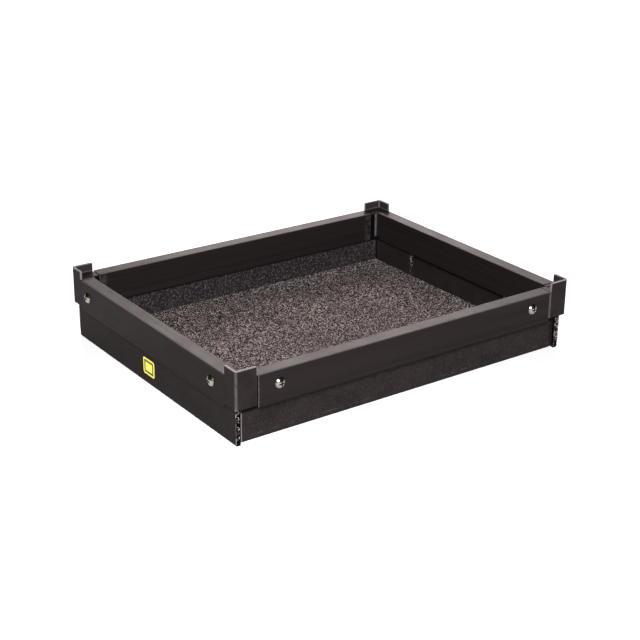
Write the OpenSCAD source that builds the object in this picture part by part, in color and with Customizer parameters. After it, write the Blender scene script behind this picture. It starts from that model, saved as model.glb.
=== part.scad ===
// Stackable component tray: one folded blank of fluted board, with edge rails
// and moulded stacking corner pieces screwed and pushed over its rim, and a
// foam sheet on its floor.
//
// Units are millimetres. X runs along the long walls, the front is -Y, +Z is
// up, and the origin is the middle of the tray's underside.
//
// The tray is built from its four corners: a "corner frame" has its origin at
// the outer corner of the rails, with both axes pointing inwards along them.

/* [Tray] */
// Length over the rails
tray_length = 400; // [280:5:600]
// Width over the rails
tray_width = 312; // [240:1:450]
// Height of the rim: underside of the floor to the tops of the rails
rim_height = 67; // [56:0.5:150]

/* [Fluted board] */
// Thickness of the board
board_t = 5; // [4:0.1:5.3]
// Thickness of the board's two outer skins
skin_t = 0.4; // [0.3:0.05:0.8]
// Distance from one flute to the next
flute_pitch = 5; // [4:0.25:8]
// Thickness of the ribs between the flutes
rib_t = 0.5; // [0.3:0.05:0.8]
// Outside radius where the walls are folded up from the floor
fold_radius = 2; // [0.5:0.1:2.5]
// Outside radius where the long walls are folded round into the end flaps
flap_fold_radius = 4; // [1:0.1:4]
// Height of the lower ends of those folds above the underside
fold_foot = 1; // [0.2:0.1:3]
// Gap between two layers of board that lie on each other
ply_gap = 0.3; // [0.1:0.05:0.6]
// Distance from the long rails' outer faces in to the short walls' cut ends
cut_end_inset = 5.5; // [3.5:0.1:7]
// Length of an end flap, measured from the outer corner of the rails
flap_reach = 77.5; // [45:0.5:110]
// Depth of the flute that is left open along a flap's cut edge
torn_flute_depth = 2.2; // [0.5:0.1:4]
// Distance from a rail's lower edge up to the hem's edge
hem_inset = 2; // [0.5:0.5:8]

/* [Rails] */
// Width of a rail, across its flat top
rail_width = 15; // [14.2:0.1:20]
// Depth of a rail's skirts, from its top
rail_depth = 32; // [26:0.5:45]
// Wall thickness of the rails
rail_wall = 1.3; // [1:0.1:1.6]
// Radius of the rails' top edges
rail_round = 1; // [0.4:0.1:1.2]
// Clearance between the board and the walls that hold it
board_clearance = 0.1; // [0.05:0.05:0.3]
// Gap between a long rail's end and the corner piece
long_rail_gap = 1.8; // [0.2:0.1:3]
// Gap between a short rail's end and the corner piece
short_rail_gap = 0.4; // [0.2:0.1:3]

/* [Corner pieces] */
// Length of a corner piece along the long rail
corner_reach_long = 22.7; // [18:0.1:40]
// Length of a corner piece along the short rail
corner_reach_short = 18.8; // [18:0.1:40]
// Distance from the rails' outer faces in to the corner piece's
corner_inset = 0; // [0:0.1:0.8]
// Thickness of the corner piece's outer walls
corner_wall = 2; // [1.2:0.1:2.4]
// Radius of the outer vertical edge
corner_radius = 3; // [0.5:0.1:3.5]
// Radius of the fillet in the corner piece's inner corner
corner_fillet = 1.5; // [0.5:0.1:3]
// Distance from the rails' lower edges up to the corner piece's
corner_lift = 3; // [0:0.5:10]
// Height of the stacking post above the rim
post_rise = 9; // [6:0.5:25]
// Radius of the upper ends of the post's wings
post_round = 1.5; // [0.5:0.1:5]
// Thickness of the ledge between the corner piece's inner and outer legs
ledge_t = 1.2; // [0.8:0.1:2]
// Width of the mitre rib on the ledge
mitre_width = 1.2; // [0.6:0.1:2.5]
// Height of the mitre rib, from the ledge up to the rim
mitre_rise = 0.5; // [0.2:0.1:1]

/* [Screws] */
// Diameter of a screw's head
screw_head_d = 11; // [8:0.5:14]
// Height of a screw's head
screw_head_h = 3; // [2:0.1:4]
// Diameter of a screw's shank
screw_d = 4.2; // [3:0.1:5]
// Length of a screw under its head
screw_length = 11; // [6:0.5:11]
// Clearance round a screw's shank
screw_clearance = 0.1; // [0.05:0.05:0.3]
// Width of the slots of the cross recess
recess_width = 1.3; // [0.8:0.1:2]
// Span of the cross recess
recess_span = 5.6; // [3:0.1:7]
// Depth of the cross recess
recess_depth = 1.8; // [0.5:0.1:1.9]
// Distance of the long rails' screws from the tray's ends
long_screw_inset = 47.2; // [30:0.1:80]
// Distance of the long rails' screws below the rim
long_screw_drop = 13.5; // [10:0.5:20]
// Distance of the short rails' front screws from the tray's front
short_screw_front_inset = 41.6; // [30:0.1:80]
// Distance of the short rails' back screws from the tray's back
short_screw_back_inset = 33; // [28:0.1:80]
// Distance of the short rails' screws below the rim
short_screw_drop = 15; // [10:0.5:20]

/* [Foam] */
// Thickness of the foam sheet
foam_t = 6; // [3:0.5:15]
// Gap between the foam sheet's edges and the board
foam_clearance = 0.8; // [0.3:0.1:4]

/* [Hidden] */
$fn = 48;
// Cuts run past the faces they open by this much
cut = 1;
// Ledges and ribs reach this far into the walls that carry them
weld = 0.3;

half_length = tray_length / 2;
half_width = tray_width / 2;

// Depths from the rails' outer faces inwards, the same on all four sides
inner_skirt = rail_width - rail_wall;       // inner skirts, face to the board
inner_face = inner_skirt - board_clearance; // inner layer of board, inner face
inner_ply = inner_face - board_t;           // inner layer of board, outer face
outer_ply = inner_ply - ply_gap - board_t;  // outer layer of board, outer face
corner_face = corner_inset + corner_wall;   // corner pieces, face to the board

// Heights
rail_bottom = rim_height - rail_depth;
ledge_top = rim_height - mitre_rise;
ledge_underside = ledge_top - ledge_t;
board_top = ledge_underside - board_clearance;
flap_bottom = board_t + ply_gap;
corner_bottom = rail_bottom + corner_lift;
post_top = rim_height + post_rise;

// A hem's fold is half a ring round the gap between its two layers
hem_fold_radius = board_t + ply_gap / 2;
hem_fold_z = board_top - hem_fold_radius;
hem_bottom = rail_bottom + hem_inset;

// Half spans of the walls, at their outer faces
long_wall_y = half_width - inner_ply;
long_wall_x = half_length - inner_ply;
short_wall_x = half_length - outer_ply;
short_wall_y = half_width - cut_end_inset;
flute_size = board_t - 2 * skin_t;

screw_hole_r = screw_d / 2 + screw_clearance;

BOARD_COLOUR = [0.19, 0.18, 0.19];
RAIL_COLOUR = [0.25, 0.24, 0.25];
CORNER_COLOUR = [0.17, 0.16, 0.17];
FOAM_COLOUR = [0.36, 0.33, 0.32];
SCREW_COLOUR = [0.78, 0.76, 0.73];

// ---------------------------------------------------------------- helpers

// Rectangle whose corner at the origin is rounded
module rounded_rectangle(size, radius) {
    difference() {
        square(size);
        fillet(radius);
    }
}

// What a rounded corner at the origin leaves of its square
module fillet(radius) {
    difference() {
        square(radius);
        translate([radius, radius]) circle(radius);
    }
}

// Shapes drawn in the YZ plane, run along X between two places
module along_x(from, to) {
    translate([from, 0, 0])
        rotate([90, 0, 90])
            linear_extrude(to - from) children();
}

// Shapes drawn in the XZ plane, run along Y between two places
module along_y(from, to) {
    translate([0, to, 0])
        rotate([90, 0, 0])
            linear_extrude(to - from) children();
}

// Children drawn for the +X side, and their mirror image
module both_ends() {
    children();
    mirror([1, 0, 0]) children();
}

// Children drawn for the +Y side, and their mirror image
module both_sides() {
    children();
    mirror([0, 1, 0]) children();
}

// ------------------------------------------------------------- tray body

// Section of the floor's edge, a long wall and its hem, in the YZ plane
module long_wall_section() {
    // wall, rounded where it is folded up from the floor
    translate([long_wall_y, 0])
        mirror([1, 0])
            rounded_rectangle([board_t, hem_fold_z], fold_radius);
    // hem, folded over outwards
    translate([long_wall_y + ply_gap, hem_bottom])
        square([board_t, hem_fold_z - hem_bottom]);
    translate([long_wall_y + ply_gap / 2, hem_fold_z])
        difference() {
            circle(hem_fold_radius);
            circle(ply_gap / 2);
            translate([-hem_fold_radius, -hem_fold_radius])
                square([2 * hem_fold_radius, hem_fold_radius]);
        }
}

// One long wall with its hem, cut short of the folds at its ends
module long_wall() {
    reach = long_wall_x - flap_fold_radius;
    along_x(-reach, reach) long_wall_section();
}

// Plan of an end flap and the vertical fold that joins it to the long wall
module flap_plan() {
    flap_length = flap_reach - inner_ply;
    translate([long_wall_x, long_wall_y])
        rotate(180)
            difference() {
                union() {
                    rounded_rectangle([board_t, flap_length], flap_fold_radius);
                    // the stretch of wall that the fold takes up
                    translate([flap_fold_radius, 0])
                        square([board_t, board_t]);
                }
                // the flute left open along the cut edge
                translate([skin_t, flap_length - torn_flute_depth])
                    square([flute_size, torn_flute_depth + cut]);
            }
}

// An end flap stands on the floor; its fold reaches past the floor's edge
module end_flap() {
    translate([0, 0, flap_bottom])
        linear_extrude(board_top - flap_bottom) flap_plan();
    translate([0, 0, fold_foot])
        linear_extrude(flap_bottom - fold_foot)
            intersection() {
                flap_plan();
                translate([long_wall_x, long_wall_y])
                    rotate(180) square([flap_fold_radius, board_t]);
            }
}

// A short wall, rounded where it is folded up from the floor
module short_wall() {
    along_y(-short_wall_y, short_wall_y)
        translate([short_wall_x, 0])
            mirror([1, 0])
                rounded_rectangle([board_t, board_top], fold_radius);
}

// The short wall's flutes, which run along it and are open at both ends
module short_wall_flutes() {
    first = board_t + skin_t;
    count = floor((board_top - skin_t - first + rib_t) / flute_pitch);
    for (i = [0 : count - 1])
        translate([
            short_wall_x - board_t + skin_t,
            -short_wall_y - cut,
            first + i * flute_pitch
        ])
            cube([flute_size, 2 * (short_wall_y + cut), flute_pitch - rib_t]);
}

// The floor, from one long wall to the other and under the short walls
module floor_panel() {
    inside = board_t / 2;
    translate([-short_wall_x + inside, -long_wall_y + inside, 0])
        cube([
            2 * (short_wall_x - inside),
            2 * (long_wall_y - inside),
            board_t
        ]);
}

module tray_body() {
    color(BOARD_COLOUR)
        difference() {
            union() {
                floor_panel();
                both_sides() long_wall();
                both_ends() short_wall();
                both_ends() both_sides() end_flap();
            }
            both_ends() short_wall_flutes();
            at_long_screws() screw_hole();
            at_short_screws() screw_hole();
        }
}

// ------------------------------------------------------------------ foam

module foam_pad() {
    x = half_length - inner_face - foam_clearance;
    y = half_width - inner_face - foam_clearance;
    color(FOAM_COLOUR)
        translate([-x, -y, board_t])
            cube([2 * x, 2 * y, foam_t]);
}

// ----------------------------------------------------------------- rails

// U section of a rail: outer face at zero, rim at the top
module rail_section() {
    translate([0, rail_bottom])
        difference() {
            translate([0, rail_depth])
                mirror([0, 1]) {
                    rounded_rectangle([rail_width / 2, rail_depth], rail_round);
                    translate([rail_width, 0])
                        mirror([1, 0])
                            rounded_rectangle(
                                [rail_width / 2, rail_depth], rail_round
                            );
                }
            translate([rail_wall, -cut])
                square([
                    rail_width - 2 * rail_wall,
                    rail_depth - rail_wall + cut
                ]);
        }
}

// Rail along the back long wall
module long_rail() {
    reach = half_length - corner_reach_long - long_rail_gap;
    along_x(-reach, reach)
        translate([half_width, 0])
            mirror([1, 0]) rail_section();
}

// Rail along the right short wall
module short_rail() {
    reach = half_width - corner_reach_short - short_rail_gap;
    along_y(-reach, reach)
        translate([half_length, 0])
            mirror([1, 0]) rail_section();
}

module back_rail() {
    color(RAIL_COLOUR)
        difference() {
            long_rail();
            at_long_screws() screw_hole(rail_wall + cut);
        }
}

module front_rail() {
    mirror([0, 1, 0]) back_rail();
}

module right_rail() {
    color(RAIL_COLOUR)
        difference() {
            short_rail();
            at_short_screws() screw_hole(rail_wall + cut);
        }
}

module left_rail() {
    mirror([1, 0, 0]) right_rail();
}

// --------------------------------------------------------- corner pieces

// Plan of the two outer walls, in the corner frame
module outer_leg_plan() {
    difference() {
        translate([corner_inset, corner_inset])
            rounded_rectangle(
                [
                    corner_reach_long - corner_inset,
                    corner_reach_short - corner_inset
                ],
                corner_radius
            );
        translate([corner_face, corner_face])
            square([corner_reach_long, corner_reach_short]);
    }
}

// Plan of the two inner walls, in line with the rails' inner skirts
module inner_leg_plan() {
    translate([inner_skirt, inner_skirt])
        difference() {
            square([
                corner_reach_long - inner_skirt,
                corner_reach_short - inner_skirt
            ]);
            translate([rail_wall, rail_wall])
                square([corner_reach_long, corner_reach_short]);
        }
    inner_fillet();
}

// Fillet in the concave corner between the two inner walls
module inner_fillet() {
    translate([rail_width, rail_width]) fillet(corner_fillet);
}

// Plan of the ledge that joins the walls
module ledge_plan() {
    start = corner_face - weld;
    difference() {
        translate([start, start])
            square([corner_reach_long - start, corner_reach_short - start]);
        translate([rail_width, rail_width])
            square([corner_reach_long, corner_reach_short]);
    }
    inner_fillet();
}

// Side view of a wing: its upper end is rounded over
module wing_side(reach) {
    translate([reach, post_top])
        rotate(180)
            rounded_rectangle(
                [reach - corner_inset, post_top - corner_bottom], post_round
            );
}

// Raised rib along the mitre of the ledge, level with the rim
module mitre_rib() {
    start = corner_face - weld;
    translate([start, start, ledge_underside])
        rotate([0, 0, 45])
            translate([0, -mitre_width / 2, 0])
                cube([
                    (rail_width - start) * sqrt(2),
                    mitre_width,
                    rim_height - ledge_underside
                ]);
}

// A whole corner piece in the corner frame
module corner_piece() {
    color(CORNER_COLOUR) {
        intersection() {
            translate([0, 0, corner_bottom])
                linear_extrude(post_top - corner_bottom) outer_leg_plan();
            union() {
                along_y(corner_inset, corner_face)
                    wing_side(corner_reach_long);
                along_x(corner_inset, corner_face)
                    wing_side(corner_reach_short);
            }
        }
        translate([0, 0, ledge_underside])
            linear_extrude(ledge_t) ledge_plan();
        translate([0, 0, corner_bottom])
            linear_extrude(ledge_top - corner_bottom) inner_leg_plan();
        mitre_rib();
    }
}

module corner_front_left() {
    translate([-half_length, -half_width, 0]) corner_piece();
}

module corner_front_right() {
    mirror([1, 0, 0]) corner_front_left();
}

module corner_back_left() {
    mirror([0, 1, 0]) corner_front_left();
}

module corner_back_right() {
    mirror([1, 0, 0]) corner_back_left();
}

// ---------------------------------------------------------------- screws

// Domed head and pointed shank, along +Z with the head's seat at zero
module screw() {
    dome_r = (pow(screw_head_d / 2, 2) + pow(screw_head_h, 2))
        / (2 * screw_head_h);
    point = screw_d;
    color(SCREW_COLOUR)
        difference() {
            rotate_extrude()
                union() {
                    intersection() {
                        translate([0, screw_head_h - dome_r]) circle(dome_r);
                        square([screw_head_d / 2, screw_head_h]);
                    }
                    translate([0, point - screw_length])
                        square([screw_d / 2, screw_length - point]);
                    polygon([
                        [0, -screw_length],
                        [screw_d / 2, point - screw_length],
                        [0, point - screw_length]
                    ]);
                }
            for (turn = [0, 90])
                rotate([0, 0, turn])
                    translate([
                        -recess_span / 2,
                        -recess_width / 2,
                        screw_head_h - recess_depth
                    ])
                        cube([recess_span, recess_width, recess_depth + cut]);
        }
}

// The hole that a screw goes through, from outside the rail inwards
module screw_hole(depth = rail_wall + cut + screw_length) {
    translate([0, 0, cut - depth])
        cylinder(r = screw_hole_r, h = depth);
}

// Children placed with +Z pointing out of the back rail's outer face
module on_long_rail(x) {
    translate([x, half_width, rim_height - long_screw_drop])
        rotate([-90, 0, 0]) children();
}

// Children placed with +Z pointing out of the right rail's outer face
module on_short_rail(y) {
    translate([half_length, y, rim_height - short_screw_drop])
        rotate([0, 90, 0]) children();
}

long_screw_x = half_length - long_screw_inset;
short_screw_front_y = short_screw_front_inset - half_width;
short_screw_back_y = half_width - short_screw_back_inset;

module at_long_screws() {
    both_sides() both_ends() on_long_rail(long_screw_x) children();
}

module at_short_screws() {
    both_ends() {
        on_short_rail(short_screw_front_y) children();
        on_short_rail(short_screw_back_y) children();
    }
}

module screw_back_right() {
    on_long_rail(long_screw_x) screw();
}

module screw_back_left() {
    on_long_rail(-long_screw_x) screw();
}

module screw_front_right() {
    mirror([0, 1, 0]) screw_back_right();
}

module screw_front_left() {
    mirror([0, 1, 0]) screw_back_left();
}

module screw_right_front() {
    on_short_rail(short_screw_front_y) screw();
}

module screw_right_back() {
    on_short_rail(short_screw_back_y) screw();
}

module screw_left_front() {
    mirror([1, 0, 0]) screw_right_front();
}

module screw_left_back() {
    mirror([1, 0, 0]) screw_right_back();
}

// ----------------------------------------------------------------- nodes

tray_body();
foam_pad();
front_rail();
back_rail();
left_rail();
right_rail();
corner_front_left();
corner_front_right();
corner_back_left();
corner_back_right();
screw_front_left();
screw_front_right();
screw_back_left();
screw_back_right();
screw_left_front();
screw_left_back();
screw_right_front();
screw_right_back();
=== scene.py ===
"""Dresses the stackable component tray: finishes for its board, rails, corner
pieces and screws, the foam sheet, the crushed ribs in the open flutes, a blank
label, and a plain studio round it."""

import math
import random

import bmesh
import bpy
from mathutils import Matrix, Vector, noise


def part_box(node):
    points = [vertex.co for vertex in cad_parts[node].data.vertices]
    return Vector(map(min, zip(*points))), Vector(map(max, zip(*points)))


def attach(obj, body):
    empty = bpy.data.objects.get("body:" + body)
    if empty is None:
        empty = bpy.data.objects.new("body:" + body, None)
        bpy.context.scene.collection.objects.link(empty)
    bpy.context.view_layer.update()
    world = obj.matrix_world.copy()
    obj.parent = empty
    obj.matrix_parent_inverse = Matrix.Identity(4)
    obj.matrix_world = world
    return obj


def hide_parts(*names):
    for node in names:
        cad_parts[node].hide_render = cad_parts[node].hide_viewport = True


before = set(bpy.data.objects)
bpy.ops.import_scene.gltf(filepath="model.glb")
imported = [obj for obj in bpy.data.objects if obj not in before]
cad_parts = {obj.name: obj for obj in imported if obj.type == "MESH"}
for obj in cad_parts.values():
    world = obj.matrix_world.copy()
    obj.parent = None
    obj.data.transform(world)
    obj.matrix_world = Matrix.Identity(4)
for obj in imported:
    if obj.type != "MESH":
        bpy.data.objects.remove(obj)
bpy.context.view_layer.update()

bl_info = {
    "name": "Component Tray",
    "version": (1, 0, 0),
    "blender": (4, 5, 0),
    "location": "3D View > Sidebar > Component Tray",
    "description": "Finishes, foam sheet, label and studio for a component tray",
    "category": "Add Mesh",
}

MM = 0.001
# the black of painted shade in gaps, open flutes and under the rails
SHADE_BLACK = (0.002, 0.002, 0.002)
LONG_RAILS = ("front_rail", "back_rail")
SHORT_RAILS = ("left_rail", "right_rail")
CORNERS = tuple(sorted(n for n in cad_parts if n.startswith("corner_")))
SCREWS = tuple(sorted(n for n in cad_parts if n.startswith("screw_")))

# distances from the tray's middle, and a height above its underside
FLAP_FACE = 185.5 * MM  # just inside the end flaps' inner faces
FLAP_FOLD = 189.4 * MM  # where a long wall is folded round into its flaps
LONG_WALL = 147 * MM  # just inside the long walls' outer faces
WALL_FOOT = 5.5 * MM  # where the walls are folded up from the floor

CORNER_FLUTES = 11  # crushed ribs at each cut end
CURL_SHARES = (0.15, 0.38, 0.55, 0.7, 0.82, 0.93)  # of a flap edge's height
LIGHTS_AIM = Vector((0, 0, 40 * MM))


# ------------------------------------------------------------------ settings


def length_setting(name, description, default, least, most):
    """A length, whose default and limits are given in millimetres."""
    return bpy.props.FloatProperty(
        name=name,
        description=description,
        default=default * MM,
        min=least * MM,
        max=most * MM,
        subtype="DISTANCE",
        unit="LENGTH",
    )


def colour_setting(name, description, default):
    return bpy.props.FloatVectorProperty(
        name=name,
        description=description,
        default=default,
        min=0,
        max=1,
        subtype="COLOR",
    )


def brightness_setting(name, description, default):
    return bpy.props.FloatProperty(
        name=name, description=description, default=default, min=0, max=5
    )


def power_setting(name, description, default):
    """A light's power in watts."""
    return bpy.props.FloatProperty(
        name=name,
        description=description,
        default=default,
        min=0,
        subtype="POWER",
        unit="POWER",
    )


class TraySizes(bpy.types.PropertyGroup):
    flute_pitch: length_setting(
        "Flute Pitch", "Distance from one of the board's flutes to the next", 5, 3, 8
    )
    flap_edge: length_setting(
        "Flap Edge",
        "Distance from the middle of a short wall to a flap's cut edge",
        78.5,
        20,
        120,
    )
    curl_radius: length_setting(
        "Curl Radius", "Radius of the crushed ribs in the open flutes", 1.6, 0.5, 2.2
    )
    curl_thickness: length_setting(
        "Curl Thickness",
        "Thickness of the crushed ribs and of the skins' torn edges",
        0.4,
        0.1,
        0.8,
    )
    foam_pitch: length_setting(
        "Foam Detail",
        "Distance between the points that model the foam's top",
        1.08,
        0.6,
        6,
    )
    foam_cell: length_setting("Foam Cell", "Size of the foam's open cells", 2.6, 1, 10)
    foam_relief: length_setting(
        "Foam Relief", "Depth of the open cells in the foam's top", 1.8, 0, 3
    )
    foam_edge: length_setting(
        "Foam Edge", "Width over which the foam's top edge is rounded over", 1.8, 0.1, 5
    )
    label_length: length_setting(
        "Label Length", "Length of the blank label", 21, 10, 80
    )
    label_height: length_setting(
        "Label Height", "Height of the blank label", 17, 8, 24
    )
    label_thickness: length_setting(
        "Label Thickness", "Thickness of the label's film", 0.15, 0.05, 0.5
    )


class TrayFinishes(bpy.types.PropertyGroup):
    board_colour: colour_setting(
        "Board", "Colour of the fluted board", (0.0172, 0.0134, 0.0132)
    )
    rail_colour: colour_setting(
        "Rails", "Colour of the edge rails", (0.0132, 0.0103, 0.0102)
    )
    corner_colour: colour_setting(
        "Corner Pieces",
        "Colour of the stacking corner pieces",
        (0.0146, 0.0113, 0.0115),
    )
    foam_colour: colour_setting(
        "Foam", "Mean colour of the foam sheet", (0.086, 0.070, 0.069)
    )
    torn_colour: colour_setting(
        "Torn Board",
        "Colour of the board where it is crushed or torn",
        (0.20, 0.18, 0.17),
    )
    screw_colour: colour_setting(
        "Screws", "Colour of the plated screws", (0.42, 0.38, 0.35)
    )
    label_colour: colour_setting(
        "Label", "Colour of the blank label", (0.86, 0.78, 0.01)
    )


class TrayStudio(bpy.types.PropertyGroup):
    surround: brightness_setting("Surround", "Brightness of the white surround", 0.0)
    key_power: power_setting(
        "Key Power", "Power of the large light at the front left", 69
    )
    back_right_power: power_setting(
        "Back Right Power", "Power of the low light behind the tray, at the right", 9
    )
    back_middle_power: power_setting(
        "Back Middle Power",
        "Power of the light behind the tray's back right corner",
        15,
    )
    back_left_power: power_setting(
        "Back Left Power", "Power of the light behind the tray, at the left", 21
    )
    back_colour: colour_setting(
        "Back Lights",
        "Colour of the back middle and back left lights",
        (1.0, 0.89, 0.85),
    )
    back_right_colour: colour_setting(
        "Back Right Light",
        "Colour of the low light behind the tray, at the right",
        (0.93, 0.88, 0.90),
    )
    distance_glow: brightness_setting(
        "Distance Glow", "How brightly the floor glows far from the tray", 1.2
    )


def sizes():
    return bpy.context.scene.tray_sizes


def finishes():
    return bpy.context.scene.tray_finishes


def studio():
    return bpy.context.scene.tray_studio


# ------------------------------------------------------------------- shaders


class Value:
    """A node's output; arithmetic on it adds Math nodes."""

    def __init__(self, finish, socket):
        self.finish = finish
        self.socket = socket

    def _math(self, operation, *operands):
        return self.finish.node(
            "ShaderNodeMath",
            {"operation": operation},
            dict(enumerate(operands)),
        )

    def __add__(self, other):
        return self._math("ADD", self, other)

    def __sub__(self, other):
        return self._math("SUBTRACT", self, other)

    def __rsub__(self, other):
        return self._math("SUBTRACT", other, self)

    def __mul__(self, other):
        return self._math("MULTIPLY", self, other)

    def __pow__(self, other):
        return self._math("POWER", self, other)

    def __abs__(self):
        return self._math("ABSOLUTE", self)

    def __gt__(self, other):
        return self._math("GREATER_THAN", self, other)

    def __lt__(self, other):
        return self._math("LESS_THAN", self, other)

    def sine(self):
        return self._math("SINE", self)

    def larger(self, other):
        return self._math("MAXIMUM", self, other)


class Finish:
    """One material, built from nodes round a Principled shader."""

    def __init__(self, name, **constants):
        self.material = bpy.data.materials.new(name)
        self.material.use_nodes = True
        self.tree = self.material.node_tree
        self.tree.nodes.clear()
        self.shader = self.tree.nodes.new("ShaderNodeBsdfPrincipled")
        output = self.tree.nodes.new("ShaderNodeOutputMaterial")
        self.tree.links.new(self.shader.outputs[0], output.inputs["Surface"])
        for socket, value in constants.items():
            self.shader.inputs[socket.replace("_", " ")].default_value = value

    def node(self, kind, settings=None, inputs=None, output=0):
        """Adds a node, and gives one of its outputs."""
        made = self.tree.nodes.new(kind)
        for name, value in (settings or {}).items():
            if name == "stops":
                self._stops(made.color_ramp, value)
            else:
                setattr(made, name, value)
        for name, value in (inputs or {}).items():
            self._feed(made.inputs[name], value)
        return Value(self, made.outputs[output])

    def _stops(self, ramp, stops):
        while len(ramp.elements) < len(stops):
            ramp.elements.new(0.5)
        for element, (place, colour) in zip(ramp.elements, stops):
            element.position = place
            element.color = (*colour, 1)

    def _feed(self, socket, value):
        if isinstance(value, Value):
            self.tree.links.new(value.socket, socket)
        else:
            socket.default_value = value

    def drive(self, **links):
        """Feeds the shader's own sockets."""
        for name, value in links.items():
            self._feed(self.shader.inputs[name.replace("_", " ")], value)
        return self

    def place(self, stretch=(1, 1, 1)):
        """Object coordinates, each multiplied by its factor."""
        coordinates = self.node("ShaderNodeTexCoord", output="Object")
        return self.node(
            "ShaderNodeMapping", inputs={"Vector": coordinates, "Scale": stretch}
        )

    def axes(self, vector):
        """The three numbers of a vector."""
        parts = self.node("ShaderNodeSeparateXYZ", inputs={"Vector": vector})
        node = parts.socket.node
        return [Value(self, node.outputs[i]) for i in range(3)]

    def facing(self):
        """The three numbers of the surface's direction."""
        return self.axes(self.node("ShaderNodeNewGeometry", output="Normal"))

    def grain(self, size, place=None, detail=2.0, roughness=0.55):
        """Noise from 0 to 1 whose features are about this size in metres."""
        return self.node(
            "ShaderNodeTexNoise",
            {"noise_dimensions": "3D"},
            {
                "Vector": place or self.place(),
                "Scale": 1 / size,
                "Detail": detail,
                "Roughness": roughness,
            },
        )

    def range(self, value, low, high, to_low=0.0, to_high=1.0):
        """Carries low..high to to_low..to_high, and holds the ends."""
        return self.node(
            "ShaderNodeMapRange",
            {"clamp": True},
            {
                "Value": value,
                "From Min": low,
                "From Max": high,
                "To Min": to_low,
                "To Max": to_high,
            },
        )

    def band(self, value, first, second, third, fourth):
        """1 from second to third, and fades to 0 at first and at fourth."""
        rise = self.range(value, first, second)
        return rise * self.range(value, third, fourth, 1, 0)

    def ramp(self, value, *stops):
        """A colour for each place along 0 to 1."""
        return self.node("ShaderNodeValToRGB", {"stops": stops}, {"Fac": value})

    def blend(self, factor, first, second):
        """Mixes two colours."""
        made = self.tree.nodes.new("ShaderNodeMix")
        made.data_type = "RGBA"
        sockets = {s.identifier: s for s in made.inputs}
        self._feed(sockets["Factor_Float"], factor)
        for key, value in (("A_Color", first), ("B_Color", second)):
            if not isinstance(value, Value) and len(value) == 3:
                value = (*value, 1)
            self._feed(sockets[key], value)
        result = next(s for s in made.outputs if s.identifier == "Result_Color")
        return Value(self, result)

    def bump(self, height, depth, under=None):
        """Normal of a surface whose height runs from 0 to depth in metres."""
        inputs = {"Height": height, "Distance": depth}
        if under is not None:
            inputs["Normal"] = under
        return self.node("ShaderNodeBump", None, inputs)


def shade(tone, factor):
    """A colour made darker or paler."""
    return tuple(min(1.0, part * factor) for part in tone)


def board_finish():
    """Black fluted board: fine grain, faint flute lines and soft scuffs, a painted
    highlight along the left folds, and painted shade in the open flutes, under the
    rails' skirts and in the inner corners.
    """
    colour = tuple(finishes().board_colour)
    pale = tuple(finishes().torn_colour)
    f = Finish("fluted_board", IOR=1.45, Specular_IOR_Level=0.028)
    x, y, z = f.axes(f.place())
    nx, ny = (abs(n) for n in f.facing()[:2])
    ax, ay = abs(x), abs(y)
    # flutes run up the long walls and along the short walls
    on_short_wall = nx > 0.5
    on_long_wall = ny > 0.5
    across = x * (1 - on_short_wall) + z * on_short_wall
    flutes = (across * (2 * math.pi / sizes().flute_pitch)).sine() * 0.5 + 0.5
    grain = f.grain(0.6 * MM, detail=3)
    mottle = f.grain(22 * MM, detail=4, roughness=0.6)
    scuffs = f.grain(6 * MM, f.place((1, 1, 0.35)), detail=6, roughness=0.7)
    speckle = f.range(f.grain(2.0 * MM, detail=3, roughness=0.75), 0.5, 0.66)
    inside = (ax < 192 * MM) * (ay < 143 * MM)
    dusty = on_long_wall * (inside * 0.7 + 0.07) + 0.07
    base = f.blend(
        f.range(mottle, 0.3, 0.7), shade(colour, 0.72), shade(colour, 1.1)
    )
    base = f.blend(speckle * dusty, base, (0.094, 0.084, 0.092))
    base = f.blend(f.range(scuffs, 0.6, 0.8) * 0.3, base, shade(colour, 3))
    # a painted highlight, broken up by the scuffs, along the left ends of the long
    # walls where they turn round into the flaps
    fold_highlight = f.band(x, -189.3 * MM, -189.1 * MM, -188.5 * MM, -188.1 * MM) * (
        ay > LONG_WALL - 1 * MM
    )
    # painted shade: the open flutes at the cut ends, a painted shadow line just under
    # the rails' skirts outside and inside, and the inner corners behind the flaps
    open_flute_shade = (ay > LONG_WALL + 0.2 * MM) * (ax > FLAP_FOLD) * (ax < 196.3 * MM)
    outer_skirt = (ay > LONG_WALL) * (ax < 190 * MM)
    under = f.range(z, 29.6 * MM, 30.0 * MM) * outer_skirt
    under = under.larger(inside * f.range(z, 32.7 * MM, 33.1 * MM))
    under = under.larger(inside * (ax > FLAP_FACE) * (ay > 141.3 * MM))
    crease = f.range(abs(z - WALL_FOOT), 0.2 * MM, 0.9 * MM, 1, 0) * (
        f.range(f.grain(9 * MM, detail=3), 0.5, 0.62, 0, 0.3)
    )
    base = f.blend(fold_highlight * f.range(scuffs, 0.3, 0.5, 0.45, 0.7), base, pale)
    base = f.blend(open_flute_shade.larger(under * 0.9), base, SHADE_BLACK)
    base = f.blend(crease * on_long_wall, base, shade(colour, 5))
    rough = f.range(mottle, 0.3, 0.7, 0.5, 0.62)
    lines = f.bump(flutes, 0.03 * MM)
    normal = f.bump(grain, 0.06 * MM, under=lines)
    return f.drive(Base_Color=base, Roughness=rough, Normal=normal).material


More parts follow.
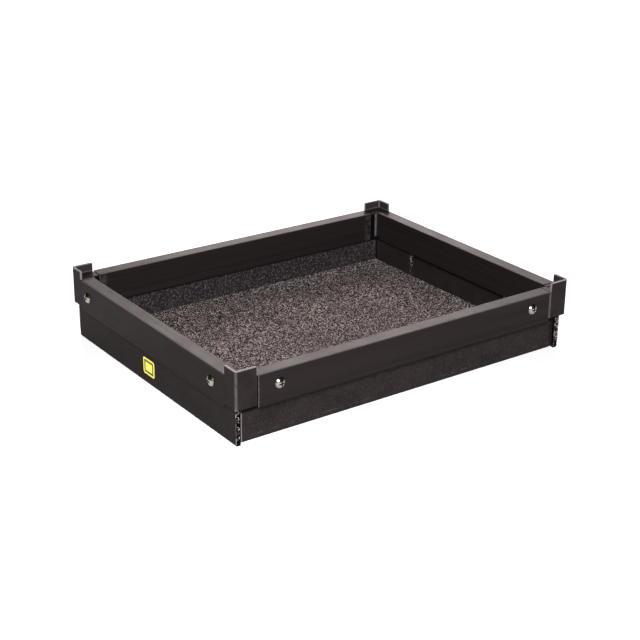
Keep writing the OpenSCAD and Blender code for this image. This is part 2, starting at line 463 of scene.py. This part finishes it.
def rail_finish(name, along):
    """Extruded black plastic with fine streaks, and a painted highlight along its
    rounded edges.

    The rails run along the X axis where along is 0, and Y where it is 1."""
    colour = tuple(finishes().rail_colour)
    stretch = [1.0, 1.0, 1.0]
    stretch[along] = 0.012
    f = Finish(name, IOR=1.48, Specular_IOR_Level=0.023)
    place = f.axes(f.place())
    nz = f.facing()[2]
    streaks = f.grain(0.8 * MM, f.place(stretch), detail=4, roughness=0.65)
    bands = f.grain(5 * MM, f.place(stretch), detail=2)
    grain = f.grain(0.35 * MM, detail=2)
    smears = f.grain(30 * MM, detail=5, roughness=0.6)
    base = f.blend(
        f.range(bands, 0.35, 0.65), shade(colour, 0.9), shade(colour, 1.15)
    )
    base = f.blend(f.range(streaks, 0.58, 0.8) * 0.6, base, shade(colour, 2.2))
    # painted highlight along the rounded edges, where the surface turns from the skirts
    # to the top
    rounded = f.band(nz, 0.25, 0.6, 0.93, 0.99)
    base = f.blend(rounded * 0.6, base, shade(colour, 8))
    if along == 0:
        base = rail_ends_wear_sheen_shadow(f, base, place)
    rough = f.range(streaks, 0.3, 0.7, 0.30, 0.40) + (
        f.range(smears, 0.4, 0.7, 0, 0.06)
    )
    lines = f.bump(streaks, 0.08 * MM)
    normal = f.bump(grain, 0.015 * MM, under=lines)
    return f.drive(Base_Color=base, Roughness=rough, Normal=normal).material


def rail_ends_wear_sheen_shadow(f, base, place):
    """A long rail's pale sawn ends, a painted sheen near its ends and painted shadow
    lines under the wings.
    """
    x, y, z = place
    ax = abs(x)
    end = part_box("front_rail")[1].x
    ragged = f.range(f.grain(1.6 * MM, detail=3), 0.3, 0.6)
    sawn = f.range(ax, end - 0.25 * MM, end - 0.1 * MM)
    base = f.blend(sawn * ragged, base, (0.13, 0.118, 0.12))
    inner_skirt = abs(y) < 142 * MM
    # painted reflection on the inner skirt near each end, broken into patches
    end_sheen = f.range(ax, end - 9 * MM, end - 3 * MM) * inner_skirt
    end_sheen = end_sheen * f.range(f.grain(7 * MM, detail=3), 0.4, 0.6)
    base = f.blend(end_sheen * 0.7, base, (0.055, 0.048, 0.052))
    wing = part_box("corner_front_right")[0]
    # painted shadow just under each wing
    shadow = f.range(z, wing.z - 2.8 * MM, wing.z - 2.4 * MM)
    shadow = shadow * (z < wing.z) * (ax > wing.x)
    return f.blend(shadow * 0.8, base, SHADE_BLACK)


def corner_finish():
    """Moulded black plastic, fine-grained, with painted highlights in patches on its
    top rims, outer edges, wing ends, ledges and inner corners, its wings' inner faces
    painted paler as painted light, and painted shade in the gap beside each rail's end.
    """
    colour = tuple(finishes().corner_colour)
    low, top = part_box("corner_back_right")
    rim_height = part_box("back_rail")[1].z
    wall = 3 * MM  # takes in the wings' thickness and their outer rounding
    f = Finish("moulded_corner", IOR=1.48, Specular_IOR_Level=0.018)
    x, y, z = f.axes(f.place())
    ax, ay = abs(x), abs(y)
    grain = f.grain(0.5 * MM, detail=3)
    smears = f.grain(9 * MM, detail=5, roughness=0.6)
    sheen_and_wear = f.range(f.grain(2.5 * MM, detail=3), 0.3, 0.6, 0.5, 1)
    # a painted highlight along the top rims
    rim = f.range(z, top.z - 1.0 * MM, top.z - 0.2 * MM)
    # how far round the outer vertical edge a place is, 1 in the middle of it
    round_x = f.range(ax, top.x - wall, top.x)
    round_y = f.range(ay, top.y - wall, top.y)
    # painted highlights down the middle of the outer vertical edge and at its foot
    edge = f.range(round_x * round_y, 0.1, 0.5) ** 1.4
    foot_highlight = f.range(z, low.z + 0.3 * MM, low.z + 0.9 * MM, 1, 0)
    # above the rim: the wings' inner faces, painted paler as painted light, with
    # painted highlights on the ledge, on the joint between the wings and on the wings'
    # ends
    above = f.range(z, rim_height + 0.2 * MM, rim_height + 0.6 * MM)
    inner = above * (ax < top.x - 1 * MM) * (ay < top.y - 1 * MM)
    ledge_highlight = inner * f.range(z, rim_height + 0.9 * MM, rim_height + 1.3 * MM, 1, 0)
    seam_highlight = inner * (
        f.range(ax, top.x - wall, top.x - 2.6 * MM)
        * f.range(ay, top.y - wall, top.y - 2.6 * MM)
    )
    wings = (ay > top.y - wall).larger(ax > top.x - wall)
    end_x = ax < low.x + 0.5 * MM
    end_y = ay < low.y + 0.5 * MM
    tip_highlight = end_x.larger(end_y) * wings * above
    # the right wings' ends carry the painted highlight over their whole height
    tip_highlight = tip_highlight.larger(end_x * wings * (x > 0) * 0.5)
    # below the rim: a painted highlight on the fillet and painted shade in the slot
    # beside the rail's end
    beneath = z < rim_height - 1.5 * MM
    inner_leg = beneath * (ay < top.y - 14 * MM) * (ay > top.y - 17 * MM)
    slot_shade = inner_leg * (ax < low.x + 4.2 * MM)
    fillet_highlight = inner_leg * (
        f.band(
            ax,
            low.x + 4.5 * MM,
            low.x + 4.8 * MM,
            low.x + 6.8 * MM,
            low.x + 7.2 * MM,
        )
    )
    base = f.blend(
        f.range(smears, 0.35, 0.7), shade(colour, 0.9), shade(colour, 1.3)
    )
    # painted light and shade laid over the base; all but the inner faces and the slot
    # are broken into patches
    for amount, tone in (
        (inner * 0.5, (0.040, 0.034, 0.036)),
        (ledge_highlight * sheen_and_wear * 0.8, (0.15, 0.13, 0.135)),
        (edge * sheen_and_wear * 0.6, (0.100, 0.088, 0.093)),
        (seam_highlight * sheen_and_wear, (0.20, 0.175, 0.18)),
        (tip_highlight * sheen_and_wear, (0.18, 0.16, 0.165)),
        (fillet_highlight * sheen_and_wear, (0.12, 0.10, 0.105)),
        (slot_shade, (0.003, 0.003, 0.003)),
        (foot_highlight * edge * sheen_and_wear, (0.22, 0.19, 0.19)),
        (rim * sheen_and_wear, (0.21, 0.185, 0.192)),
    ):
        base = f.blend(amount, base, tone)
    rough = f.range(smears, 0.3, 0.7, 0.34, 0.46)
    normal = f.bump(grain, 0.03 * MM)
    return f.drive(Base_Color=base, Roughness=rough, Normal=normal).material


def torn_finish():
    """Crushed and torn board, pale where the plastic is stretched."""
    colour = tuple(finishes().torn_colour)
    f = Finish("torn_board", IOR=1.45, Specular_IOR_Level=0.3)
    stretched = f.range(f.grain(1.6 * MM, detail=3, roughness=0.65), 0.35, 0.65)
    dirt_and_shade = f.grain(0.5 * MM, detail=2)
    whitened = f.range(f.grain(4 * MM, detail=1), 0.42, 0.56)
    base = f.ramp(
        stretched,
        (0.0, shade(colour, 0.3)),
        (0.5, colour),
        (1.0, shade(colour, 3)),
    )
    base = f.blend(whitened, tuple(finishes().board_colour), base)
    base = f.blend(f.range(dirt_and_shade, 0.5, 0.7) * 0.3, base, shade(colour, 0.3))
    rough = f.range(dirt_and_shade, 0.3, 0.7, 0.35, 0.55)
    normal = f.bump(dirt_and_shade, 0.06 * MM)
    return f.drive(Base_Color=base, Roughness=rough, Normal=normal).material


def screw_finish(screw):
    """Nickel plating with specks, and painted shade in the recess and round the head's
    rim.
    """
    colour = tuple(finishes().screw_colour)
    low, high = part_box(screw)
    middle = (low + high) / 2
    # the head's face is at the end that points away from the tray's middle
    along = "x" if abs(middle.x) > abs(middle.y) * 1.4 else "y"
    face = max(getattr(low, along), getattr(high, along), key=abs)
    inwards = -1 if face > 0 else 1
    radius = 6.54 * MM  # of the domed head, whose centre is on the screw's axis
    setattr(middle, along, face + inwards * radius)
    f = Finish(screw.replace("screw", "plated"), Metallic=1.0)
    from_centre = f.node(
        "ShaderNodeVectorMath",
        {"operation": "DISTANCE"},
        {0: f.place(), 1: middle},
        output="Value",
    )
    recess = f.range(from_centre, radius - 0.45 * MM, radius - 0.15 * MM, 1, 0)
    towards = abs(f.facing()["xyz".index(along)])
    rim = f.range(towards, 0.55, 0.68, 1, 0)
    grain = f.grain(0.5 * MM, detail=4)
    specks = f.range(f.grain(1.6 * MM, detail=4, roughness=0.7), 0.5, 0.6)
    base = f.blend(f.range(grain, 0.3, 0.7), shade(colour, 0.75), colour)
    base = f.blend(specks * 0.7, base, shade(colour, 0.3))
    # painted shade in the recess and round the head's steep rim
    dirt_and_shade = recess.larger(rim * 0.8)
    base = f.blend(dirt_and_shade, base, (0.02, 0.018, 0.017))
    rough = f.range(grain, 0.3, 0.7, 0.16, 0.3)
    normal = f.bump(grain, 0.04 * MM)
    return f.drive(Base_Color=base, Roughness=rough, Normal=normal).material


def foam_finish():
    """Coarse open-cell foam: pale struts round dark cells, with dust, and painted shade
    deeper into the cells.
    """
    colour = tuple(finishes().foam_colour)
    f = Finish("open_cell_foam", IOR=1.4, Specular_IOR_Level=0.02)
    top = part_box("foam_pad")[1].z
    z = f.axes(f.place())[2]
    pits = f.range(z, top - 1.5 * MM, top - 0.35 * MM)
    dust = f.grain(1.3 * MM, detail=3, roughness=0.75)
    tint = f.grain(2.4 * MM, detail=2)
    shades = f.range(f.grain(1.9 * MM, detail=2, roughness=0.75), 0.45, 0.59)
    base = f.ramp(
        shades,
        (0.0, shade(colour, 0.02)),
        (0.55, shade(colour, 0.2)),
        (1.0, shade(colour, 4.4)),
    )
    # painted shade: darker deeper into the open cells
    base = f.blend(1 - pits, base, shade(colour, 0.25))
    base = f.blend(f.range(dust, 0.6, 0.64) * 0.85, base, (0.80, 0.71, 0.66))
    base = f.blend(f.range(tint, 0.55, 0.75) * 0.3, base, (0.24, 0.17, 0.16))
    normal = f.bump(dust, 0.6 * MM)
    rough = f.range(dust, 0.4, 0.6, 0.55, 0.85)
    return f.drive(Base_Color=base, Roughness=rough, Normal=normal).material


def label_finish(low, high):
    """Blank yellow film with a thin black line inside its edge."""
    colour = tuple(finishes().label_colour)
    middle = (low + high) / 2
    half = (high - low) / 2
    f = Finish("label_film", Coat_Weight=0.3, Coat_Roughness=0.15)
    y, z = f.axes(f.place())[1:]
    inset = 2.9 * MM
    # distance from the middle of the black line
    away_y = abs(y - middle.y) - (half.y - inset)
    away_z = abs(z - middle.z) - (half.z - inset)
    away = away_y.larger(away_z)
    line = f.range(abs(away), 1.1 * MM, 1.25 * MM, 1, 0)
    print_grain = f.grain(0.5 * MM, detail=2)
    base = f.blend(f.range(print_grain, 0.3, 0.7), shade(colour, 0.93), colour)
    base = f.blend(line, base, (0.012, 0.012, 0.012))
    rough = f.range(print_grain, 0.3, 0.7, 0.3, 0.4)
    return f.drive(Base_Color=base, Roughness=rough).material


def floor_finish():
    """Smooth white backdrop paper, evened out by a glow far from the tray."""
    f = Finish("backdrop_paper", Specular_IOR_Level=0.1, Emission_Strength=1.0)
    x, y = f.axes(f.place())[:2]
    distance = (x * x + y * y) ** 0.5
    glow = f.range(distance, 0.9, 1.9, 0.06, studio().distance_glow)
    fibres = f.grain(4 * MM, detail=3)
    paper = (0.93, 0.93, 0.93)
    base = f.blend(f.range(fibres, 0.3, 0.7), paper, (0.95, 0.95, 0.95))
    return f.drive(Base_Color=base, Emission_Color=glow, Roughness=0.9).material


def dress(names, material):
    """Gives the named solids a finish."""
    for name in names:
        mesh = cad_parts[name].data
        mesh.materials.clear()
        mesh.materials.append(material)


# ------------------------------------------------------------------ modelling


def start_mesh(add, name, **options):
    """Adds a primitive with nothing else selected, and enters edit mode."""
    bpy.ops.object.select_all(action="DESELECT")
    add(**options)
    piece = bpy.context.object
    piece.name = piece.data.name = name
    bpy.ops.object.transform_apply(location=True, rotation=True, scale=True)
    bpy.ops.object.mode_set(mode="EDIT")
    return piece


def choose(piece, kind, test):
    """Selects only the edges or verts that pass the test."""
    bpy.ops.mesh.select_mode(type={"edges": "EDGE", "verts": "VERT"}[kind])
    bpy.ops.mesh.select_all(action="DESELECT")
    mesh = bmesh.from_edit_mesh(piece.data)
    for element in getattr(mesh, kind):
        if test(element):
            element.select_set(True)
    mesh.select_flush_mode()
    bmesh.update_edit_mesh(piece.data)


def finish_mesh(piece, material, angle=None):
    """Leaves edit mode, and makes the piece part of the tray."""
    bpy.ops.object.mode_set(mode="OBJECT")
    piece.data.materials.clear()
    piece.data.materials.append(material)
    if angle is not None:
        bpy.ops.object.shade_smooth_by_angle(angle=angle)
    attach(piece, "root")


def thicken(piece):
    """Leaves edit mode, and gives a strip its thickness, half to each side."""
    bpy.ops.object.mode_set(mode="OBJECT")
    wall = piece.modifiers.new("thickness", "SOLIDIFY")
    wall.thickness = sizes().curl_thickness
    wall.offset = 0
    bpy.ops.object.modifier_apply(modifier=wall.name)


def model_curl():
    """A crushed rib: a hooked strip round the Y axis, open at the left."""
    radius = sizes().curl_radius
    piece = start_mesh(
        bpy.ops.mesh.primitive_circle_add,
        "rib_curl",
        vertices=20,
        radius=radius,
        rotation=(math.pi / 2, 0, 0),
    )
    gap_side, gap_top = -0.15 * radius, 0.6 * radius
    choose(
        piece, "verts", lambda vert: vert.co.x < gap_side and vert.co.z < gap_top
    )
    bpy.ops.mesh.delete(type="VERT")
    bpy.ops.mesh.select_all(action="SELECT")
    bpy.ops.mesh.extrude_edges_move(
        TRANSFORM_OT_translate={"value": (0, radius, 0)}
    )
    thicken(piece)
    return piece


def model_burr(length):
    """A skin's torn edge: an upright strip, ragged along its -Y side."""
    width, step = 1 * MM, 0.8 * MM
    piece = start_mesh(
        bpy.ops.mesh.primitive_grid_add,
        "skin_burr",
        x_subdivisions=round(length / step),
        y_subdivisions=2,
        size=1,
    )
    bpy.ops.mesh.select_all(action="SELECT")
    bpy.ops.transform.resize(value=(length, width, 1), center_override=(0, 0, 0))
    choose(piece, "verts", lambda vert: vert.co.y < -0.3 * width)
    bpy.ops.transform.vertex_random(offset=0.4 * MM, seed=5)
    bpy.ops.mesh.select_all(action="SELECT")
    bpy.ops.transform.rotate(
        value=math.pi / 2, orient_axis="Y", center_override=(0, 0, 0)
    )
    thicken(piece)
    return piece


def scatter(copies, name, seed):
    """Joins turned and crumpled copies of models into one piece.

    Each copy is a model, its place, its turn about each axis and its size."""
    made = []
    for number, (model, place, turn, size) in enumerate(copies):
        bpy.ops.object.select_all(action="DESELECT")
        model.select_set(True)
        bpy.context.view_layer.objects.active = model
        bpy.ops.object.duplicate()
        copy = bpy.context.object
        copy.location = place
        copy.rotation_euler = turn
        copy.scale = (size, size, size)
        bpy.ops.object.transform_apply(location=True, rotation=True, scale=True)
        bpy.ops.object.mode_set(mode="EDIT")
        bpy.ops.mesh.select_all(action="SELECT")
        bpy.ops.transform.vertex_random(offset=0.12 * MM, seed=seed + number)
        bpy.ops.object.mode_set(mode="OBJECT")
        made.append(copy)
    for copy in made:
        copy.select_set(True)
    bpy.context.view_layer.objects.active = made[0]
    bpy.ops.object.join()
    piece = bpy.context.object
    piece.name = piece.data.name = name
    return piece


def discard(models):
    """Deletes the models that copies were made from."""
    bpy.ops.object.select_all(action="DESELECT")
    for model in models:
        model.select_set(True)
    bpy.ops.object.delete()


def sides_of(corner):
    """The signs of a corner's X and Y."""
    return 1 if "right" in corner else -1, 1 if "back" in corner else -1


def foam_heights(piece, low, high):
    """Lowers the foam's top into open cells, and rounds its edges over."""
    s = sizes()
    edge_waves, strut_waves, swell_waves = 160, 900, 18  # in a metre
    edge_drop = 1.6 * MM
    for vertex in piece.data.vertices:
        co = vertex.co
        if co.z < high.z - 0.1 * MM:
            continue
        near = min(co.x - low.x, high.x - co.x, co.y - low.y, high.y - co.y)
        ragged = noise.noise(co * edge_waves) * 0.6 * MM
        edge = max(0.0, 1 - max(0.0, near + ragged) / s.foam_edge)
        distances = noise.voronoi(co / s.foam_cell)[0]
        strut = min(1.0, (distances[1] - distances[0]) * 1.6)
        rough = noise.noise(co * strut_waves) * 0.35 + 0.5
        swell = noise.noise(co * swell_waves) * 0.35 * MM
        drop = s.foam_relief * (0.7 * strut + 0.5 * rough)
        co.z = min(high.z, high.z - drop + swell) - edge**2 * edge_drop


# ------------------------------------------------------------------ operators


class TRAY_OT_dress_board(bpy.types.Operator):
    """Finish the folded tray body as black fluted board"""

    bl_idname = "tray.dress_board"
    bl_label = "Board Finish"

    def execute(self, context):
        dress(["tray_body"], board_finish())
        return {"FINISHED"}


class TRAY_OT_dress_rails(bpy.types.Operator):
    """Finish the edge rails as extruded plastic, streaked along each rail"""

    bl_idname = "tray.dress_rails"
    bl_label = "Rail Finish"

    def execute(self, context):
        dress(LONG_RAILS, rail_finish("extruded_long_rail", 0))
        dress(SHORT_RAILS, rail_finish("extruded_short_rail", 1))
        return {"FINISHED"}


class TRAY_OT_dress_corners(bpy.types.Operator):
    """Finish the stacking corner pieces as moulded plastic"""

    bl_idname = "tray.dress_corners"
    bl_label = "Corner Finish"

    def execute(self, context):
        dress(CORNERS, corner_finish())
        return {"FINISHED"}


class TRAY_OT_dress_screws(bpy.types.Operator):
    """Finish the screws as nickel-plated steel"""

    bl_idname = "tray.dress_screws"
    bl_label = "Screw Finish"

    def execute(self, context):
        for screw in SCREWS:
            dress([screw], screw_finish(screw))
        return {"FINISHED"}


class TRAY_OT_add_foam(bpy.types.Operator):
    """Lay the open-cell foam sheet on the floor"""

    bl_idname = "tray.add_foam"
    bl_label = "Foam Sheet"

    def execute(self, context):
        low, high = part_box("foam_pad")
        middle = (low + high) / 2
        span = high - low
        piece = start_mesh(
            bpy.ops.mesh.primitive_grid_add,
            "foam_sheet",
            x_subdivisions=round(span.x / sizes().foam_pitch),
            y_subdivisions=round(span.y / sizes().foam_pitch),
            size=1,
            location=(middle.x, middle.y, high.z),
        )
        bpy.ops.mesh.select_all(action="SELECT")
        bpy.ops.transform.resize(
            value=(span.x, span.y, 1), center_override=(middle.x, middle.y, high.z)
        )
        choose(piece, "edges", lambda edge: edge.is_boundary)
        bpy.ops.mesh.extrude_edges_move(
            TRANSFORM_OT_translate={"value": (0, 0, -span.z)}
        )
        bpy.ops.mesh.edge_face_add()
        bpy.ops.mesh.select_all(action="SELECT")
        bpy.ops.mesh.normals_make_consistent(inside=False)
        bpy.ops.object.mode_set(mode="OBJECT")
        foam_heights(piece, low, high)
        finish_mesh(piece, foam_finish())
        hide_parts("foam_pad")
        return {"FINISHED"}


class TRAY_OT_add_crushed_ribs(bpy.types.Operator):
    """Crush the ribs in the short walls' open flutes, and tear their skins"""

    bl_idname = "tray.add_crushed_ribs"
    bl_label = "Crushed Ribs"

    def execute(self, context):
        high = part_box("tray_body")[1]
        cut_end = high.y - 2.2 * MM
        skin = high.x - 0.25 * MM
        core = high.x - 2.5 * MM
        lowest = 5.2 * MM
        burr_length, burr_middle = 60 * MM, 31.5 * MM
        inner_skin = 4.5 * MM
        pitch = sizes().flute_pitch
        curl, burr = model_curl(), model_burr(burr_length)
        material = torn_finish()
        for number, corner in enumerate(CORNERS):
            draw = random.Random(number + 3)
            across, along = sides_of(corner)
            facing = math.pi if along > 0 else 0
            copies = []
            for flute in range(CORNER_FLUTES):
                middle = (
                    across * (core + draw.uniform(-0.3, 0.6) * MM),
                    along * (cut_end + 0.35 * MM),
                    (flute + 0.5) * pitch + lowest + draw.uniform(-0.8, 0.8) * MM,
                )
                turn = (
                    draw.uniform(-0.25, 0.25),
                    draw.uniform(-1.0, 1.0),
                    facing + draw.uniform(-0.3, 0.3),
                )
                copies.append((curl, middle, turn, draw.uniform(0.75, 1.1)))
            # both skins are torn at the right corners, and the outer one alone
            # at the left corners
            for depth in (0, inner_skin) if across > 0 else (0,):
                place = (
                    across * (skin - depth),
                    along * (cut_end - 0.2 * MM),
                    burr_middle,
                )
                copies.append((burr, place, (0, 0, facing), 1))
            name = corner.replace("corner", "crushed_ribs")
            piece = scatter(copies, name, 10 * number)
            finish_mesh(piece, material, math.radians(40))
        discard([curl, burr])
        return {"FINISHED"}


class TRAY_OT_add_torn_edges(bpy.types.Operator):
    """Tear the flute that is left open along each flap's cut edge"""

    bl_idname = "tray.add_torn_edges"
    bl_label = "Torn Flap Edges"

    def execute(self, context):
        outer_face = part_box("tray_body")[1].x - 5.3 * MM
        skin = outer_face - 4.8 * MM
        core = outer_face - 2.5 * MM
        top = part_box("right_rail")[0].z
        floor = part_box("foam_pad")[1].z
        height = top - floor - 1 * MM
        curl, burr = model_curl(), model_burr(height)
        material = torn_finish()
        for number, corner in enumerate(CORNERS):
            draw = random.Random(number + 31)
            across, along = sides_of(corner)
            facing = 0 if along > 0 else math.pi
            edge = along * (sizes().flap_edge + 0.35 * MM)
            place = (across * skin, edge, (top + floor) / 2)
            copies = [(burr, place, (0, 0, facing), 1)]
            for share in CURL_SHARES:
                middle = (
                    across * (core + draw.uniform(-1.2, 0.6) * MM),
                    along * (sizes().flap_edge + draw.uniform(0.3, 1.0) * MM),
                    floor + share * height,
                )
                turn = tuple(draw.uniform(-0.8, 0.8) for axis in range(3))
                # the curls grow towards the top
                size = 0.35 + 0.45 * share
                copies.append((curl, middle, turn, size))
            name = corner.replace("corner", "torn_edge")
            piece = scatter(copies, name, 100 + 10 * number)
            finish_mesh(piece, material, math.radians(40))
        discard([curl, burr])
        return {"FINISHED"}


class TRAY_OT_add_label(bpy.types.Operator):
    """Stick the blank label on the left wall, under its rail"""

    bl_idname = "tray.add_label"
    bl_label = "Blank Label"

    def execute(self, context):
        s = sizes()
        corner_radius = 2.5 * MM
        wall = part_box("tray_body")[0].x
        size = Vector((s.label_thickness, s.label_length, s.label_height))
        middle = Vector((wall - size.x / 2, 5 * MM, 18.5 * MM))
        piece = start_mesh(
            bpy.ops.mesh.primitive_cube_add,
            "blank_label",
            size=1,
            location=middle,
            scale=size,
        )
        # only the four edges through the film's thickness are rounded
        choose(
            piece,
            "edges",
            lambda edge: abs(edge.verts[0].co.x - edge.verts[1].co.x) > size.x / 2,
        )
        bpy.ops.mesh.bevel(offset=corner_radius, segments=6, affect="EDGES")
        finish_mesh(
            piece,
            label_finish(middle - size / 2, middle + size / 2),
            angle=math.radians(30),
        )
        return {"FINISHED"}


class TRAY_OT_set_stage(bpy.types.Operator):
    """Set the white floor, the surround, the lights and the camera"""

    bl_idname = "tray.set_stage"
    bl_label = "Studio"

    def execute(self, context):
        self.add_floor()
        self.add_surround(context.scene)
        s = studio()
        back, back_right = tuple(s.back_colour), tuple(s.back_right_colour)
        # name, place and size in metres, power, colour
        for light in (
            ("key_light", (-0.95, -1.35, 1.1), (0.6, 0.6), s.key_power, (1, 1, 1)),
            (
                "back_right",
                (1.15, 1.15, 0.6),
                (1.2, 0.5),
                s.back_right_power,
                back_right,
            ),
            ("back_middle", (0.98, 1.1, 0.9), (1.0, 0.5), s.back_middle_power, back),
            ("back_left", (0.73, 1.26, 0.84), (1.0, 0.6), s.back_left_power, back),
        ):
            self.add_light(*light)
        self.add_camera(context.scene)
        context.scene.view_settings.view_transform = "Standard"
        return {"FINISHED"}

    def add_floor(self):
        floor = start_mesh(bpy.ops.mesh.primitive_plane_add, "floor", size=30)
        bpy.ops.object.mode_set(mode="OBJECT")
        floor.data.materials.append(floor_finish())

    def add_surround(self, scene):
        scene.world = bpy.data.worlds.new("surround")
        scene.world.use_nodes = True
        sky = scene.world.node_tree.nodes["Background"]
        sky.inputs["Color"].default_value = (1, 1, 1, 1)
        sky.inputs["Strength"].default_value = studio().surround

    def add_light(self, name, place, spread, power, colour):
        """Adds a rectangular light that faces the tray."""
        data = bpy.data.lights.new(name, "AREA")
        data.shape = "RECTANGLE"
        data.size, data.size_y = spread
        data.energy = power
        data.color = colour
        light = bpy.data.objects.new(name, data)
        bpy.context.scene.collection.objects.link(light)
        light.location = place
        away = light.location - LIGHTS_AIM
        light.rotation_euler = away.to_track_quat("Z", "Y").to_euler()

    def add_camera(self, scene):
        """Adds a camera above the tray's front left corner."""
        data = bpy.data.cameras.new("camera")
        data.sensor_width = 36
        data.lens = 80.738
        camera = bpy.data.objects.new("camera", data)
        scene.collection.objects.link(camera)
        right = Vector((0.81285, -0.58236, 0.01149))
        up = Vector((0.21723, 0.3214, 0.92169))
        turned = Matrix((right, up, right.cross(up))).transposed()
        camera.matrix_world = Matrix.Translation(
            (-0.80087, -1.11017, 0.59953)
        ) @ turned.to_4x4()
        scene.camera = camera


STEPS = (
    TRAY_OT_set_stage,
    TRAY_OT_dress_board,
    TRAY_OT_dress_rails,
    TRAY_OT_dress_corners,
    TRAY_OT_dress_screws,
    TRAY_OT_add_foam,
    TRAY_OT_add_crushed_ribs,
    TRAY_OT_add_torn_edges,
    TRAY_OT_add_label,
)


class TRAY_PT_pieces(bpy.types.Panel):
    """The tray's sizes, colours and pieces"""

    bl_idname = "TRAY_PT_pieces"
    bl_label = "Component Tray"
    bl_space_type = "VIEW_3D"
    bl_region_type = "UI"
    bl_category = "Component Tray"

    def draw(self, context):
        scene = context.scene
        for group in (scene.tray_sizes, scene.tray_finishes, scene.tray_studio):
            box = self.layout.box()
            for name in type(group).__annotations__:
                box.prop(group, name)
        for step in STEPS:
            self.layout.operator(step.bl_idname)


GROUPS = {
    "tray_sizes": TraySizes,
    "tray_finishes": TrayFinishes,
    "tray_studio": TrayStudio,
}


def register():
    for cls in (*GROUPS.values(), *STEPS, TRAY_PT_pieces):
        bpy.utils.register_class(cls)
    for name, group in GROUPS.items():
        setattr(bpy.types.Scene, name, bpy.props.PointerProperty(type=group))


def unregister():
    for name in GROUPS:
        delattr(bpy.types.Scene, name)
    for cls in (TRAY_PT_pieces, *reversed(STEPS), *GROUPS.values()):
        bpy.utils.unregister_class(cls)


def main():
    register()
    for step in STEPS:
        section, name = step.bl_idname.split(".")
        getattr(getattr(bpy.ops, section), name)()


if __name__ == "__main__":
    main()
